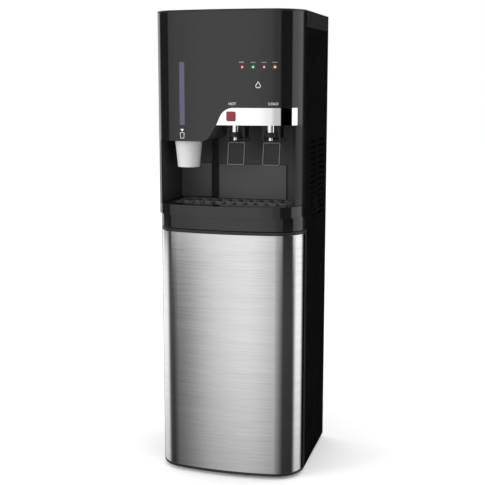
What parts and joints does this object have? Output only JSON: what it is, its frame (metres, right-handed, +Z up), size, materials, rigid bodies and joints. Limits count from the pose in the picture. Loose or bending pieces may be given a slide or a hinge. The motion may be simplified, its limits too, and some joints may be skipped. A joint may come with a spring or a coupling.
{
  "type": "water dispenser",
  "caption": "Floor-standing hot and cold water dispenser with a bowed steel door over the bottle bay, a tap alcove, a drip tray and a built-in cup magazine.",
  "frame": {"origin": "on the floor, in the middle of the overall width and depth", "axes": "+X to the right seen from the front, +Y to the back, +Z up; the front faces -Y"},
  "size_m": [0.335, 0.331, 1.046],
  "materials": {
    "gloss_black": "gloss",
    "panel_black": "satin, lightly textured",
    "frame_black": "matte",
    "brushed_steel": "horizontally brushed",
    "chrome": "mirror",
    "zinc_steel": "zinc grey",
    "window": "smoked",
    "tube_clear": "frosted",
    "paper_cup": "satin white",
    "red_button": "gloss",
    "green_switch": "gloss",
    "lamps": "clear, lit",
    "lever_grey": "satin",
    "rubber": "matte",
    "board_green": "satin",
    "stainless": "satin",
    "foam": "matte foam",
    "white_plastic": "satin",
    "hose_clear": "silicone"
  },
  "bodies": {
    "cabinet": {"base_pan": "frame_black", "feet": "rubber", "left_side_panel": "panel_black", "right_side_panel": "panel_black", "back_panel": "panel_black", "back_screws": "zinc_steel", "service_shelf": "frame_black", "tank_shelf": "frame_black", "door_jambs": "frame_black", "bottle_platform": "frame_black", "probe_clip": "frame_black", "bottle_probe": "white_plastic", "feed_hose": "hose_clear", "water_pump": "frame_black", "compressor": "panel_black", "compressor_mounts": "rubber", "condenser_coil": "panel_black", "cold_tank": "stainless", "tank_insulation": "foam", "hot_tank": "stainless", "tap_pipes": "hose_clear", "cord_gland": "rubber", "switch_bezel": "frame_black", "drain_spout": "frame_black", "top_cover": "frame_black", "hatch_pin": "zinc_steel", "front_fascia": "gloss_black", "chrome_trim": "chrome", "cup_window": "window", "indicator_lamps": "lamps", "indicator_board": "board_green", "lock_switch": "frame_black", "alcove_liner": "gloss_black", "alcove_ceiling": "gloss_black", "pillars": "gloss_black", "splash_panels": "gloss_black", "cup_tube": "tube_clear", "cup_stack": "paper_cup", "hot_tap": "lever_grey", "cold_tap": "lever_grey", "hot_spout": "chrome", "cold_spout": "chrome", "lever_pins": "lever_grey", "apron": "gloss_black", "door_fittings": "zinc_steel"},
    "door": {"door_skin": "brushed_steel", "door_liner": "frame_black", "door_magnet": "rubber"},
    "drip_tray": {"drip_tray": "gloss_black", "drip_tub": "frame_black"},
    "drip_grille": {"drip_grille": "lever_grey"},
    "front_cup": {"front_cup": "paper_cup"},
    "cup_hatch": {"cup_hatch": "panel_black"},
    "lock_button": {"hot_lock_button": "red_button", "button_spring": "zinc_steel"},
    "hot_lever": {"hot_lever": "lever_grey"},
    "cold_lever": {"cold_lever": "lever_grey"},
    "hot_switch": {"hot_switch": "red_button"},
    "cold_switch": {"cold_switch": "green_switch"},
    "drain_cap": {"drain_cap": "frame_black"}
  },
  "joints": [
    {"name": "door_hinge", "type": "hinge", "parent": "cabinet", "child": "door", "pos_m": [0.1595, -0.07, 0.3], "axis": [0, 0, 1], "range_deg": [0, 100]},
    {"name": "drip_tray_slide", "type": "slide", "parent": "cabinet", "child": "drip_tray", "axis": [0, -1, 0], "range_m": [0, 0.12]},
    {"name": "drip_grille_lift", "type": "slide", "parent": "drip_tray", "child": "drip_grille", "axis": [0, 0, 1], "range_m": [0, 0.04]},
    {"name": "cup_pull", "type": "slide", "parent": "cabinet", "child": "front_cup", "axis": [0, 0, -1], "range_m": [0, 0.035]},
    {"name": "cup_hatch_hinge", "type": "hinge", "parent": "cabinet", "child": "cup_hatch", "pos_m": [-0.0945, -0.055, 1.044], "axis": [-1, 0, 0], "range_deg": [0, 100]},
    {"name": "hot_lock_press", "type": "slide", "parent": "cabinet", "child": "lock_button", "axis": [0, 1, 0], "range_m": [0, 0.003], "stiffness_N_per_m": 400},
    {"name": "hot_lever_push", "type": "hinge", "parent": "cabinet", "child": "hot_lever", "pos_m": [0.022, -0.122, 0.771], "axis": [1, 0, 0], "range_deg": [0, 14], "stiffness_Nm_per_rad": 0.15, "springref_deg": -5.73},
    {"name": "cold_lever_push", "type": "hinge", "parent": "cabinet", "child": "cold_lever", "pos_m": [0.101, -0.122, 0.771], "axis": [1, 0, 0], "range_deg": [0, 14], "stiffness_Nm_per_rad": 0.15, "springref_deg": -5.73},
    {"name": "hot_switch_rock", "type": "hinge", "parent": "cabinet", "child": "hot_switch", "pos_m": [-0.119, 0.147, 0.96], "axis": [1, 0, 0], "range_deg": [0, 18]},
    {"name": "cold_switch_rock", "type": "hinge", "parent": "cabinet", "child": "cold_switch", "pos_m": [-0.091, 0.147, 0.96], "axis": [1, 0, 0], "range_deg": [0, 18]},
    {"name": "drain_cap_turn", "type": "hinge", "parent": "cabinet", "child": "drain_cap", "pos_m": [0.12, 0.158, 0.6], "axis": [0, 1, 0], "continuous": true}
  ]
}
